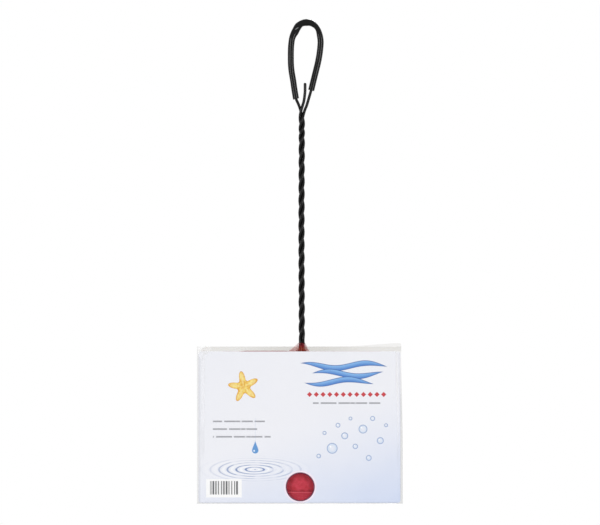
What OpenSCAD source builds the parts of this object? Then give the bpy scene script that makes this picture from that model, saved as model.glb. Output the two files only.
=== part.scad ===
// Aquarium fish net as it is sold: a twisted wire handle with a tube-covered grip loop, a
// rectangular frame with hem and folded netting, and a clear sleeve that holds a window card.
// Millimetres. The handle points up along +Z and the front faces -Y. The origin is the centre of
// the peg that the grip loop hangs on.

/* [Wire] */
// Thickness of the coated wire
wire_d = 3.0; // [2:0.1:3.2]
// Length of the even twist between its two splayed ends
shaft_len = 222; // [160:1:320]
// Whole turns in the even twist
whole_turns = 5; // [4:1:7]

/* [Grip loop] */
// Width of the loop between the centres of its two legs
loop_w = 30.6; // [28:0.2:42]
// Wall of the vinyl tube
tube_wall = 1.3; // [0.8:0.1:1.6]
// Play of the wire inside the tube, per side
tube_play = 0.45; // [0.2:0.05:0.6]
// How far the free wire tip stands above the end of the tube's left leg
tip_rise = 16.9; // [8:0.1:20]
// Diameter of the peg that the loop hangs on
peg_d = 8; // [4:0.5:9]

/* [Frame] */
// Width between the centres of the side wires
frame_w = 195; // [150:1:250]
// Height between the centres of the top and the bottom wire
frame_h = 152; // [120:1:200]
// Bend radius of the four corners
corner_r = 15; // [12:0.5:25]
// Bend radius of the two shoulders at the neck
shoulder_r = 5; // [4:0.5:14]
// Length of the neck, where both wires stand side by side above the shoulders
neck_run = 5; // [1:0.5:10]

/* [Cloth] */
// Thickness of the hem tape and of the neck cloth
tape_t = 0.45; // [0.3:0.05:0.6]
// Width of the tape's sewn tail, inwards from the round of the hem
tail_w = 6.0; // [4:0.1:8]
// How far the neck cloth reaches to the left of the handle
neck_left = 14; // [12:0.5:20]
// How far the neck cloth reaches to the right of the handle
neck_right = 8; // [6:0.5:14]
// Thickness of the net's threads
thread_d = 0.6; // [0.4:0.05:0.8]
// Openings across the net
cells_across = 10; // [6:1:12]
// Distance between the folded plies of the net, centre to centre
ply_step = 1.25; // [1:0.05:1.6]
// How far the pocket's closed end stays below the top hem
pocket_drop = 16; // [10:0.5:40]

/* [Card] */
// Thickness of the card
card_t = 0.4; // [0.2:0.05:0.6]
// How far the card reaches past the centre of each side wire
card_side = 7.5; // [5:0.1:12]
// How far the card reaches past the top and bottom wires, together
card_over = 5.4; // [5.2:0.1:12]
// Radius of the card's corners
card_corner_r = 3; // [1:0.5:6]
// Diameter of the window
window_d = 28; // [15:0.5:45]
// Height of the window's centre above the card's lower edge
window_h = 16.7; // [16:0.1:60]

/* [Sleeve] */
// Thickness of the film
film_t = 0.2; // [0.1:0.02:0.3]
// Room beside the card, per side
sleeve_side = 2; // [1.6:0.1:5]
// How far the sleeve's front stands above the card
sleeve_over = 5; // [2:0.5:20]
// How far the right corner of the back film stands above the front film
corner_rise = 3.5; // [0.5:0.1:8]
// How far the sleeve sits off the handle's axis, to the left
sleeve_shift = 2; // [0:0.1:3]

/* [Hidden] */

black = [0.06, 0.06, 0.065];
vinyl_black = [0.09, 0.09, 0.095];
tape_red = [0.62, 0.1, 0.14];
net_red = [0.75, 0.16, 0.22];
film_clear = [0.85, 0.88, 0.92, 0.35];
card_blue = [0.86, 0.9, 0.96];

// Faces round a wire or a tube, degrees between the rings of a bend, rings in a turn of the twist
wire_sides = 12;
bend_sides = 40;
strand_sides = 8;
tube_sides = 12;
ring_step = 8;
steps_per_turn = 12;

// The three strands touch: the radius of their centres about the axis for this lay angle.
// The twist keeps its part turn, so that each strand always leaves towards its own side.
part_turn = 0.6;
lay_len = shaft_len / (whole_turns + part_turn);
lay_angle = atan(PI * wire_d * 2 / sqrt(3) / lay_len);
strand_play = 0.13;
strand_r = wire_d / 2 * sqrt(1 + 1 / (3 * pow(cos(lay_angle), 2))) + strand_play;
tip_phase = 111;
left_phase = tip_phase - 120;
right_phase = tip_phase + 120;

// The grip loop's two sides, each from the crown to the end of the tube:
// [straight run, bend radius, turn in degrees], runs and radii as shares of the loop's width
left_bend_shares = [
    [0, 0.376, 47],
    [0, 0.88, 36],
    [0, 2.95, 6],
    [0.425, 2.95, 11],
    [0.69, 0.23, 6]
];
right_bend_shares = [
    [0, 0.333, 36],
    [0, 0.542, 25],
    [0, 0.918, 34],
    [0, 5.1, 8.4],
    [0.833, 0.2, 3]
];
left_bends = [for (b = left_bend_shares) [b[0] * loop_w, b[1] * loop_w, b[2]]];
right_bends = [for (b = right_bend_shares) [b[0] * loop_w, b[1] * loop_w, b[2]]];
crown_side_share = 0.17;
tip_side_share = 0.111;
axis_x = -crown_side_share * loop_w;
tube_bore = wire_d + 2 * tube_play;
tube_d = tube_bore + 2 * tube_wall;
crown_z = (peg_d + tube_d) / 2;

// Where a chain of bends ends, as [x, z, heading]
function chain_end(bends, i = 0, p = [0, 0], h = 180) =
    i == len(bends) ? [p.x, p.y, h] :
    let (
        run = bends[i][0],
        r = bends[i][1],
        turn = bends[i][2],
        q = p + run * [cos(h), sin(h)],
        c = q + r * [-sin(h), cos(h)],
        e = c + r * [sin(h + turn), -cos(h + turn)]
    )
    chain_end(bends, i + 1, e, h + turn);

// Tube ends measured from the handle's axis, with the legs' slope in x per z
left_end = chain_end(left_bends);
right_end = chain_end(right_bends);
left_x = left_end[0] - axis_x;
left_z = crown_z + left_end[1];
left_slope = cos(left_end[2]) / sin(left_end[2]);
right_x = -right_end[0] - axis_x;
right_z = crown_z + right_end[1];
right_slope = -cos(right_end[2]) / sin(right_end[2]);

// Heights down the handle. Each strand leaves the twist over a splay: [start above the twist's
// top, run], in shares of one turn. The lay tightens by end_twist degrees just below.
top_splay_share = 0.52;
left_splay_shares = [0.174, 0.348];
right_splay_shares = [0.005, 0.358];
tip_splay_shares = [0.332, 0.405];
foot_splay_share = 0.3;
end_twist = 60;
end_twist_shares = [-0.604, 0.546];
twist_top_z = left_z - top_splay_share * lay_len;
foot_splay = foot_splay_share * lay_len;
foot_z = twist_top_z - shaft_len - foot_splay;
tip_x = tip_side_share * loop_w;
tip_y = -0.28 * wire_d;
butt_gap = 0.02;
tip_z = left_z + tip_rise;

// At the neck two strands stand side by side and the third one ends behind them
neck_gap = 0.2;
foot_x = (wire_d + neck_gap) / 2;
foot_back_y = 0.95 * wire_d;
foot_back_x = 0.12 * wire_d;
cut_end_share = 0.65;
neck_len = neck_run + shoulder_r;
cut_end_z = foot_z - cut_end_share * neck_len;

// Frame and hem
bar_top_z = foot_z - neck_len;
bar_bottom_z = bar_top_z - frame_h;
bar_run = frame_w / 2 - corner_r - shoulder_r - foot_x;
side_run = frame_h - 2 * corner_r;
bottom_run = frame_w - 2 * corner_r;
hoop_bends = [
    [bar_run, corner_r, 90],
    [side_run, corner_r, 90],
    [bottom_run, corner_r, 90],
    [side_run, corner_r, 90],
    [bar_run, 0, 0]
];
hem_play = 0.1;
hem_r = wire_d / 2 + hem_play + tape_t;
tail_reach = hem_r + tail_w;

// Neck cloth: one ply before the wires and one behind the cut end
ply_clear = 0.1;
cut_end_clear = 0.3;
neck_rise = 1;
neck_front_y = -hem_r - ply_clear - tape_t;
neck_back_y = foot_back_y + wire_d / 2 + cut_end_clear;
neck_top_z = foot_z + neck_rise;
neck_low_z = bar_top_z - tail_reach;

// Netting: the front panel falls from the top hem, folds and rises again; the back panel rises
// from the bottom hem behind it
sew_gap = 0.3;
mouth_depth = 2.2;
slope_run = 6;
fold_lift = 8;
first_ply_y = mouth_depth + thread_d / 2;
second_ply_y = first_ply_y + ply_step;
back_ply_y = second_ply_y + ply_step;
net_half_w = frame_w / 2 - tail_reach - sew_gap;
cell = (2 * net_half_w - thread_d) / cells_across;
front_start_z = neck_low_z - sew_gap;
back_start_z = bar_bottom_z + tail_reach + sew_gap;
fold_z = bar_bottom_z + tail_reach + fold_lift;
pocket_end_z = neck_low_z - pocket_drop;
seam_w = 1.6;
seam_gap = 0.1;

// Card and sleeve, from the tube's front outwards and from the frame downwards
card_play = 0.3;
film_play = 0.3;
card_back_y = -max(tube_d / 2, -neck_front_y) - card_play;
card_front_y = card_back_y - card_t;
film_front_y = card_front_y - film_play;
film_back_y = max(back_ply_y + thread_d / 2, neck_back_y + tape_t) + film_play;
sleeve_front_y = film_front_y - film_t;
sleeve_back_y = film_back_y + film_t;
fold_r = 1;
card_rest = 0.1;
under_hem = 1.35;
card_shift = 0.4;
card_w = frame_w + 2 * card_side;
card_h = frame_h + card_over;
card_low_z = bar_bottom_z - hem_r - under_hem;
card_top_z = card_low_z + card_h;
sleeve_w = card_w + 2 * sleeve_side;
sleeve_low_z = card_low_z - card_rest - fold_r;
sleeve_top_z = card_top_z + sleeve_over;
sleeve_left_x = -sleeve_shift - sleeve_w / 2;
sleeve_right_x = -sleeve_shift + sleeve_w / 2;
card_x = -sleeve_shift - card_shift;
window_shift = 0.8;
window_x = card_x + window_shift;
window_z = card_low_z + window_h;
film_low_z = sleeve_low_z + fold_r;
rise_start_share = 0.7;

// Everything below the loop is drawn from the handle's axis
module at_axis() {
    translate([axis_x, 0, 0]) children();
}

// A flat outline in x and z, drawn from y to y + depth
module plate(y, depth) {
    translate([0, y + depth, 0])
        rotate([90, 0, 0])
            linear_extrude(depth)
                children();
}

// An outline in y and z, drawn from x to x + length
module run_along_x(x, length) {
    translate([x, 0, 0])
        rotate([90, 0, 90])
            linear_extrude(length)
                children();
}

module rounded_rect(w, h, r) {
    square([w - 2 * r, h], center = true);
    square([w, h - 2 * r], center = true);
    for (sx = [-1, 1], sy = [-1, 1]) {
        translate([sx * (w / 2 - r), sy * (h / 2 - r)])
            circle(r, $fn = 32);
    }
}

// One bend of a section: the centre is on the left for a positive turn
module bend(r, turn) {
    mirror([0, turn < 0 ? 1 : 0, 0])
        translate([0, r, 0])
            rotate([0, 0, -90])
                rotate_extrude(angle = abs(turn), $fn = bend_sides)
                    translate([r, 0])
                        mirror([turn < 0 ? 0 : 1, 0, 0])
                            children();
}

// A section led along straights and bends, in the local xy plane, from the origin along +x
module follow(bends, i = 0) {
    if (i < len(bends)) {
        run = bends[i][0];
        r = bends[i][1];
        turn = bends[i][2];
        side = turn < 0 ? -1 : 1;
        if (run > 0)
            rotate([90, 0, 90]) linear_extrude(run) children();
        if (turn != 0)
            translate([run, 0, 0]) bend(r, turn) children();
        translate([run + r * sin(abs(turn)), side * r * (1 - cos(turn)), 0])
            rotate([0, 0, turn])
                follow(bends, i + 1) children();
    }
}

// A chain of bends stood up in the xz plane, from the point [x, z] along a heading
module follow_upright(x, z, heading, bends) {
    translate([x, 0, z])
        rotate([90, 0, 0])
            rotate([0, 0, heading])
                follow(bends)
                    children();
}

// Corners of a ring round a centre line, n of them, square to the direction it runs in
function ring(p, along, r, n) =
    let (
        u = unit(cross([0, 1, 0], along)),
        v = cross(along, u)
    )
    [for (k = [0:n - 1]) p + r * (cos(360 * k / n) * u + sin(360 * k / n) * v)];

// The wall between rings of n corners each, from the corner number first onwards
function wall(first, rings, n) = [for (i = [0:rings - 2], k = [0:n - 1])
    let (
        a = first + i * n + k,
        b = first + i * n + (k + 1) % n
    )
    each [[b + n, b, a], [a + n, b + n, a]]];

function turned(faces) = [for (f = faces) [f[2], f[1], f[0]]];

module solid_of(rings, n) {
    last = (len(rings) - 1) * n;
    low_cap = [for (k = [1:n - 2]) [k, k + 1, 0]];
    high_cap = [for (k = [1:n - 2]) [last + k + 1, last + k, last]];
    polyhedron([for (r = rings) each r], concat(wall(0, len(rings), n), low_cap, high_cap),
        convexity = 10);
}

module hollow_of(outer, inner, n) {
    count = len(outer);
    in = count * n;
    last = (count - 1) * n;
    low_end = [for (k = [0:n - 1])
        let (next = (k + 1) % n)
        each [[k, next, in + next], [k, in + next, in + k]]];
    high_end = [for (k = [0:n - 1])
        let (next = (k + 1) % n)
        each [
            [last + next, last + k, in + last + k],
            [last + next, in + last + k, in + last + next]
        ]];
    polyhedron([for (r = concat(outer, inner)) each r],
        concat(wall(0, count, n), turned(wall(in, count, n)), low_end, high_end),
        convexity = 10);
}

// Stations [x, z, heading] along a chain of bends that starts at the crown
function stations(bends, i = 0, p = [0, 0], h = 180) =
    i == len(bends) ? [] :
    let (
        run = bends[i][0],
        r = bends[i][1],
        turn = bends[i][2],
        steps = ceil(turn / ring_step),
        q = p + run * [cos(h), sin(h)],
        c = q + r * [-sin(h), cos(h)],
        arc = [for (k = [1:steps])
            let (a = h + turn * k / steps)
            [c.x + r * sin(a), c.y - r * cos(a), a]],
        e = arc[steps - 1]
    )
    concat(run > 0 ? [[q.x, q.y, h]] : [], arc, stations(bends, i + 1, [e.x, e.y], e[2]));

// The whole loop from the end of the right leg over the crown to the end of the left leg
loop_stations = concat(
    [for (s = reversed(stations(right_bends))) [-s.x, s.y, 360 - s[2]]],
    [[0, 0, 180]],
    stations(left_bends)
);

function loop_rings(r, n) = [for (s = loop_stations)
    ring([s.x, 0, crown_z + s.y], [cos(s[2]), 0, sin(s[2])], r, n)];

function smooth(t) = let (c = max(0, min(1, t))) c * c * (3 - 2 * c);
function mix(a, b, s) = a * (1 - s) + b * s;
function unit(v) = v / norm(v);

function helix_point(z, phase) =
    let (
        over = (z - twist_top_z) / lay_len,
        tighter = end_twist * smooth((over - end_twist_shares[0]) / end_twist_shares[1]),
        a = phase + 360 * over + tighter
    )
    [strand_r * cos(a), strand_r * sin(a), z];

// A strand's centre at height z: twisted in between, led to its leg above and its foot below
function strand_point(z, phase, leg, splay, foot) =
    let (
        leg_point = [leg[0] + leg[1] * (z - leg[2]), leg[3], z],
        over = (z - twist_top_z) / lay_len,
        up = smooth((over - splay[0]) / splay[1]),
        down = smooth((foot_z + foot_splay - z) / foot_splay),
        upper = mix(helix_point(z, phase), leg_point, up)
    )
    mix(upper, [foot.x, foot.y, z], down);

// leg = [x, slope in x per z, z of that x, y]; a domed tip gets narrowing rings
module strand(phase, leg, splay, foot, low_z, high_z, domed = false) {
    probe = wire_d / 100;
    count = ceil((high_z - low_z) / lay_len * steps_per_turn);
    dome_turns = domed ? [30, 60, 80] : [];
    zs = [for (i = [0:count]) low_z + (high_z - low_z) * i / count];
    body = [for (z = zs)
        let (
            a = strand_point(z - probe, phase, leg, splay, foot),
            b = strand_point(z + probe, phase, leg, splay, foot)
        )
        ring(strand_point(z, phase, leg, splay, foot), unit(b - a), wire_d / 2, strand_sides)];
    top = strand_point(high_z, phase, leg, splay, foot);
    dome = [for (t = dome_turns)
        ring(top + [0, 0, wire_d / 2 * sin(t)], [0, 0, 1], wire_d / 2 * cos(t), strand_sides)];
    solid_of(concat(body, dome), strand_sides);
}

module handle_strand_tip() {
    color(black) at_axis()
        strand(tip_phase, [tip_x, 0, tip_z, tip_y], tip_splay_shares,
            [-foot_x, 0], foot_z + butt_gap, tip_z - wire_d / 2, domed = true);
}

module handle_strand_left() {
    color(black) at_axis()
        strand(left_phase, [left_x, left_slope, left_z, 0], left_splay_shares,
            [foot_back_x, foot_back_y], cut_end_z, left_z - butt_gap);
}

module handle_strand_right() {
    color(black) at_axis()
        strand(right_phase, [right_x, right_slope, right_z, 0], right_splay_shares,
            [foot_x, 0], foot_z + butt_gap, right_z - butt_gap);
}

module grip_loop_wire() {
    color(black) solid_of(loop_rings(wire_d / 2, strand_sides), strand_sides);
}

module grip_tube() {
    color(vinyl_black)
        hollow_of(loop_rings(tube_d / 2, tube_sides), loop_rings(tube_bore / 2, tube_sides),
            tube_sides);
}

module frame_wire() {
    bends = concat(
        [[neck_run, shoulder_r, -90]],
        hoop_bends,
        [[0, shoulder_r, -90], [neck_run, 0, 0]]
    );
    color(black) at_axis()
        follow_upright(-foot_x, foot_z, 270, bends)
            circle(d = wire_d, $fn = wire_sides);
}

// The tape is folded round the wire and its two plies are sewn together inside the frame
module hem_tape() {
    color(tape_red) at_axis()
        follow_upright(-foot_x - shoulder_r, bar_top_z, 180, hoop_bends)
            difference() {
                union() {
                    circle(r = hem_r, $fn = wire_sides);
                    translate([0, -tape_t]) square([tail_reach, 2 * tape_t]);
                }
                circle(r = hem_r - tape_t, $fn = wire_sides);
            }
}

module neck_outline() {
    top_half_w = foot_x + hem_r;
    polygon([
        [-top_half_w, neck_top_z],
        [top_half_w, neck_top_z],
        [neck_right, bar_top_z + hem_r],
        [neck_right, neck_low_z],
        [-neck_left, neck_low_z],
        [-neck_left, bar_top_z + hem_r]
    ]);
}

module neck_cloth_front() {
    color(tape_red) at_axis() plate(neck_front_y, tape_t) neck_outline();
}

module neck_cloth_back() {
    color(tape_red) at_axis() plate(neck_back_y, tape_t) neck_outline();
}

function fold_arc(steps = 6) = [for (i = [1:steps - 1])
    let (a = 180 + 180 * i / steps)
    [(first_ply_y + second_ply_y) / 2 + ply_step / 2 * cos(a), fold_z + ply_step / 2 * sin(a)]];

front_route = concat(
    [[0, front_start_z], [first_ply_y, front_start_z - slope_run], [first_ply_y, fold_z]],
    fold_arc(),
    [[second_ply_y, fold_z], [second_ply_y, pocket_end_z]]
);
back_route = [
    [0, back_start_z],
    [back_ply_y, back_start_z + slope_run],
    [back_ply_y, pocket_end_z]
];

function heading_at(route, i) =
    let (
        a = route[max(i - 1, 0)],
        b = route[min(i + 1, len(route) - 1)]
    )
    unit(b - a);

function side_of(route, off) = [for (i = [0:len(route) - 1])
    let (h = heading_at(route, i))
    route[i] + off * [-h.y, h.x]];

function reversed(v) = [for (i = [len(v) - 1:-1:0]) v[i]];

function route_len(route, last) = last == 0 ? 0 :
    route_len(route, last - 1) + norm(route[last] - route[last - 1]);

// The point that lies a length s along a route
function along_route(route, s, i = 1) =
    let (step = norm(route[i] - route[i - 1]))
    s <= step || i == len(route) - 1 ?
        mix(route[i - 1], route[i], s / step) :
        along_route(route, s - step, i + 1);

function cut_out(points, first, last) = [for (i = [first:last]) points[i]];

// One part of a panel, between two corners of its route. Upright threads follow the route,
// cross threads lie on it at even steps.
module net_part(route, first, last) {
    part = cut_out(route, first, last);
    behind = cut_out(side_of(route, thread_d / 2), first, last);
    before = cut_out(side_of(route, -thread_d / 2), first, last);
    total = route_len(part, len(part) - 1);
    rows = max(1, round(total / cell));
    cross_d = 0.8 * thread_d;
    for (i = [0:cells_across]) {
        run_along_x(-net_half_w + i * cell, thread_d)
            polygon(concat(behind, reversed(before)));
    }
    for (j = [0:rows]) {
        at = along_route(part, cross_d + (total - 2 * cross_d) * j / rows);
        run_along_x(-net_half_w, 2 * net_half_w)
            translate(at) square(cross_d, center = true);
    }
}

// The hem's tail rounds the frame's corners, so the panels' own corners are cut clear of it
module hem_corner_room(z) {
    room = tape_t + sew_gap;
    reach = corner_r + tail_reach;
    for (side = [-1, 1]) {
        translate([side * (frame_w / 2 - corner_r + reach / 2), 0, z])
            cube([reach, 2 * room, 2 * reach], center = true);
    }
}

// Corners of the two routes at which the panels are cut into parts that are flat or nearly so
slope_end = 1;
fold_start = 2;

module front_panel_part(first, last) {
    difference() {
        net_part(front_route, first, last);
        hem_corner_room(front_start_z);
    }
}

module back_panel_part(first, last) {
    difference() {
        net_part(back_route, first, last);
        hem_corner_room(back_start_z);
    }
}

module net_mouth_strip() {
    color(net_red) at_axis() front_panel_part(0, slope_end);
}

module net_front_ply() {
    color(net_red) at_axis() front_panel_part(slope_end, fold_start);
}

module net_folded_ply() {
    color(net_red) at_axis() front_panel_part(fold_start, len(front_route) - 1);
}

module net_bottom_strip() {
    color(net_red) at_axis() back_panel_part(0, slope_end);
}

module net_back_ply() {
    color(net_red) at_axis() back_panel_part(slope_end, len(back_route) - 1);
}

// The seams close the sides and the end of the pocket's folded-up part
module pocket_side_seam(x) {
    low_z = back_start_z + slope_run;
    run_along_x(x, seam_w)
        translate([second_ply_y - thread_d / 2, low_z])
            square([ply_step + thread_d, pocket_end_z - low_z]);
}

module pocket_seam_left() {
    color(tape_red) at_axis() pocket_side_seam(-net_half_w - seam_gap - seam_w);
}

module pocket_seam_right() {
    color(tape_red) at_axis() pocket_side_seam(net_half_w + seam_gap);
}

module pocket_end_seam() {
    color(tape_red) at_axis()
        run_along_x(-net_half_w, 2 * net_half_w)
            translate([second_ply_y - thread_d / 2, pocket_end_z + seam_gap])
                square([ply_step + thread_d, seam_w]);
}

module insert_card() {
    color(card_blue) at_axis()
        plate(card_front_y, card_t)
            difference() {
                translate([card_x, card_low_z + card_h / 2])
                    rounded_rect(card_w, card_h, card_corner_r);
                translate([window_x, window_z])
                    circle(d = window_d, $fn = 64);
            }
}

module sleeve_front_film() {
    color(film_clear) at_axis()
        plate(sleeve_front_y, film_t)
            translate([sleeve_left_x + fold_r, film_low_z])
                square([sleeve_w - 2 * fold_r, sleeve_top_z - film_low_z]);
}

module sleeve_back_film() {
    left = sleeve_left_x + fold_r;
    right = sleeve_right_x - fold_r;
    color(film_clear) at_axis()
        plate(film_back_y, film_t)
            polygon([
                [left, film_low_z],
                [right, film_low_z],
                [right, sleeve_top_z + corner_rise],
                [mix(left, right, rise_start_share), sleeve_top_z],
                [left, sleeve_top_z]
            ]);
}

// The film's turned edge: a wall with rounded corners, as [across, depth] seen along the fold
module fold_section() {
    depth = sleeve_back_y - sleeve_front_y;
    mid_y = (sleeve_back_y + sleeve_front_y) / 2;
    intersection() {
        translate([fold_r, mid_y])
            difference() {
                rounded_rect(2 * fold_r, depth, fold_r - film_t / 10);
                rounded_rect(2 * (fold_r - film_t), depth - 2 * film_t, fold_r - film_t * 1.1);
            }
        translate([0, mid_y - depth / 2]) square([fold_r, depth]);
    }
}

module sleeve_fold_left() {
    color(film_clear) at_axis()
        translate([sleeve_left_x, 0, film_low_z])
            linear_extrude(sleeve_top_z - film_low_z)
                fold_section();
}

module sleeve_fold_right() {
    color(film_clear) at_axis()
        translate([sleeve_right_x, 0, film_low_z])
            linear_extrude(sleeve_top_z - film_low_z)
                mirror([1, 0, 0]) fold_section();
}

module sleeve_bottom_fold() {
    color(film_clear) at_axis()
        translate([0, 0, sleeve_low_z])
            run_along_x(sleeve_left_x + fold_r, sleeve_w - 2 * fold_r)
                mirror([1, -1, 0]) fold_section();
}

handle_strand_tip();
handle_strand_left();
handle_strand_right();
grip_loop_wire();
grip_tube();
frame_wire();
hem_tape();
neck_cloth_front();
neck_cloth_back();
net_mouth_strip();
net_front_ply();
net_folded_ply();
net_bottom_strip();
net_back_ply();
pocket_seam_left();
pocket_seam_right();
pocket_end_seam();
sleeve_front_film();
sleeve_back_film();
sleeve_fold_left();
sleeve_fold_right();
sleeve_bottom_fold();
insert_card();
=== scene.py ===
"""An aquarium fish net as it is sold: a twisted wire handle with a tube on its grip loop, a
hemmed frame with soft netting, and a clear sleeve with a window card. Sizes are in millimetres,
and the studio's in metres. The handle points up along +Z, and the front faces -Y."""

import math

import bmesh
import bpy
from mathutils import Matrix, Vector


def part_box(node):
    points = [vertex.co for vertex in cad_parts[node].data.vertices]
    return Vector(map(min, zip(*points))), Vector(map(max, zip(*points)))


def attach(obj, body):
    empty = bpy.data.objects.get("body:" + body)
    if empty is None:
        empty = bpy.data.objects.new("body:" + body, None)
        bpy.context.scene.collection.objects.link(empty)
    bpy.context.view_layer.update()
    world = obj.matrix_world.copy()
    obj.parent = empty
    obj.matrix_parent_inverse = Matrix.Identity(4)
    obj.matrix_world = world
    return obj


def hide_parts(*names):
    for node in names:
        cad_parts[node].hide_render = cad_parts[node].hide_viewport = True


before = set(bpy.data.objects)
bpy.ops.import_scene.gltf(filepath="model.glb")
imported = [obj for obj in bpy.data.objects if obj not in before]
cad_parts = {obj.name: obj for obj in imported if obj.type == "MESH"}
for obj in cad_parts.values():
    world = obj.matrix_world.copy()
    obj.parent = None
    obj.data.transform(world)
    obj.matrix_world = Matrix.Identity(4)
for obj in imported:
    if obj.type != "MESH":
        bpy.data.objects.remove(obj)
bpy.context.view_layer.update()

MM = 0.001

# The camera stands six metres off, level with the middle of the picture and square to the card, so
# that the frame's two sides stay as parallel as they are in the photograph.
PICTURE_W = 624 * MM
PICTURE_MIDDLE = Vector((-7.07, 0, -242.75)) * MM
CAMERA_AWAY = 6.0


def new_object(name, data):
    made = bpy.data.objects.new(name, data)
    bpy.context.collection.objects.link(made)
    return made


camera_lens = bpy.data.cameras.new("camera")
camera_lens.sensor_width = 36
camera_lens.lens = camera_lens.sensor_width * CAMERA_AWAY / PICTURE_W
camera = new_object("camera", camera_lens)
camera.location = PICTURE_MIDDLE - Vector((0, CAMERA_AWAY, 0))
camera.rotation_euler = (math.radians(90), 0, 0)
bpy.context.scene.camera = camera


# The studio: a plain pale floor below the net, a white surround that only the camera and the
# reflections see at full strength, and three large soft lamps.
class Link:
    """An output of a node. Sums and comparisons with it add Math nodes to its graph."""

    def __init__(self, graph, socket):
        self.graph = graph
        self.socket = socket

    def math(self, operation, *values):
        return self.graph.node("ShaderNodeMath", {"operation": operation}, values)

    def __add__(self, other):
        return self.math("ADD", self, other)

    def __radd__(self, other):
        return self.math("ADD", other, self)

    def __sub__(self, other):
        return self.math("SUBTRACT", self, other)

    def __rsub__(self, other):
        return self.math("SUBTRACT", other, self)

    def __mul__(self, other):
        return self.math("MULTIPLY", self, other)

    def __rmul__(self, other):
        return self.math("MULTIPLY", other, self)

    def __truediv__(self, other):
        return self.math("DIVIDE", self, other)

    def __pow__(self, other):
        return self.math("POWER", self, other)

    def __mod__(self, other):
        return self.math("FLOORED_MODULO", self, other)

    def __abs__(self):
        return self.math("ABSOLUTE", self)

    def sine(self):
        return self.math("SINE", self)

    def least(self, other):
        return self.math("MINIMUM", self, other)

    def most(self, other):
        return self.math("MAXIMUM", self, other)

    def rise(self, low, high):
        """0 below low, 1 above high and a smooth step in between."""
        settings = {"interpolation_type": "SMOOTHSTEP"}
        return self.graph.node("ShaderNodeMapRange", settings, [self, low, high, 0.0, 1.0])


class Graph:
    """A node tree to which one call adds any node. Its settings are set before its sockets."""

    def __init__(self, tree):
        self.tree = tree

    def node(self, kind, settings=None, values=(), output=0):
        made = self.tree.nodes.new(kind)
        for name, value in (settings or {}).items():
            setattr(made, name, value)
        named = values.items() if isinstance(values, dict) else enumerate(values)
        for name, value in named:
            self.feed(made.inputs[name], value)
        return Link(self, made.outputs[output])

    def feed(self, socket, value):
        if isinstance(value, Link):
            self.tree.links.new(value.socket, socket)
        else:
            socket.default_value = value


def colour(red, green, blue):
    """An sRGB colour, 0 to 255 a channel, as the linear colour that a shader takes."""
    shares = [c / 255 for c in (red, green, blue)]
    return [*(s / 12.92 if s <= 0.04045 else ((s + 0.055) / 1.055) ** 2.4 for s in shares), 1.0]


class Finish(Graph):
    """A material of one Principled shader, with its plain numbers set on the shader itself."""

    def __init__(self, name, **numbers):
        self.material = bpy.data.materials.new(name)
        self.material.use_nodes = True
        super().__init__(self.material.node_tree)
        self.shader = self.tree.nodes["Principled BSDF"]
        for words, value in numbers.items():
            socket = words.replace("_", " ").title().replace("Ior", "IOR")
            self.shader.inputs[socket].default_value = value
        self.place = self.node("ShaderNodeTexCoord", output="Object")

    def along(self, axis):
        """One object coordinate in millimetres: 0 for x, 1 for y, 2 for z."""
        return self.node("ShaderNodeSeparateXYZ", values=[self.place], output=axis) / MM

    def wave(self, axis, pitch_mm):
        """A sine wave along one object coordinate."""
        return (self.along(axis) * (2 * math.pi / pitch_mm)).sine()

    def noise(self, size_mm, detail=2.0):
        """Even noise from 0 to 1 whose blots are about size_mm across."""
        values = {"Vector": self.place, "Scale": 1 / (size_mm * MM), "Detail": detail}
        return self.node("ShaderNodeTexNoise", {"noise_dimensions": "3D"}, values)

    def mix(self, share, a, b):
        """Colour a where the share is 0, and colour b where it is 1."""
        return self.node("ShaderNodeMix", {"data_type": "RGBA"}, {0: share, 6: a, 7: b}, output=2)

    def paint(self, socket, value):
        self.feed(self.shader.inputs[socket], value)

    def bump(self, height, depth_mm, strength):
        values = {"Height": height, "Distance": depth_mm * MM, "Strength": strength}
        self.paint("Normal", self.node("ShaderNodeBump", values=values))


FLOOR_W = 1.4
FLOOR_Z = -0.69
SURROUND_LIGHT = 0.5
LAMP_SIZE = (0.6, 0.9)
LAMPS = {
    "left_lamp": ((-1.65, -1.9, -0.05), 19.8),
    "right_lamp": ((1.65, -1.9, -0.05), 19.8),
    "back_lamp": ((0.3, 2.3, 0.8), 16),
}

surround = bpy.data.worlds.new("surround")
surround.use_nodes = True
bpy.context.scene.world = surround
surround_graph = Graph(surround.node_tree)
seen_directly = [
    surround_graph.node("ShaderNodeLightPath", output=ray)
    for ray in ("Is Camera Ray", "Is Glossy Ray", "Is Transmission Ray")
]
seen = seen_directly[0].most(seen_directly[1]).most(seen_directly[2])
surround_shader = surround.node_tree.nodes["Background"]
surround_shader.inputs["Color"].default_value = (1, 1, 1, 1)
surround_graph.feed(surround_shader.inputs["Strength"], SURROUND_LIGHT + seen * (1 - SURROUND_LIGHT))

floor_mesh = bpy.data.meshes.new("floor")
floor_corners = [(-1, -1), (1, -1), (1, 1), (-1, 1)]
floor_points = [(x * FLOOR_W / 2, y * FLOOR_W / 2, FLOOR_Z) for x, y in floor_corners]
floor_mesh.from_pydata(floor_points, [], [(0, 1, 2, 3)])
floor = new_object("floor", floor_mesh)
floor_paint = Finish("floor_paint", roughness=0.7)
floor_paint.paint("Base Color", (0.9, 0.9, 0.9, 1))
floor_mesh.materials.append(floor_paint.material)

for name, (place, power) in LAMPS.items():
    lamp_light = bpy.data.lights.new(name, "AREA")
    lamp_light.shape = "RECTANGLE"
    lamp_light.size, lamp_light.size_y = LAMP_SIZE
    lamp_light.energy = power
    lamp = new_object(name, lamp_light)
    lamp.location = place
    lamp.rotation_euler = (PICTURE_MIDDLE - Vector(place)).to_track_quat("-Z", "Y").to_euler()


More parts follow.
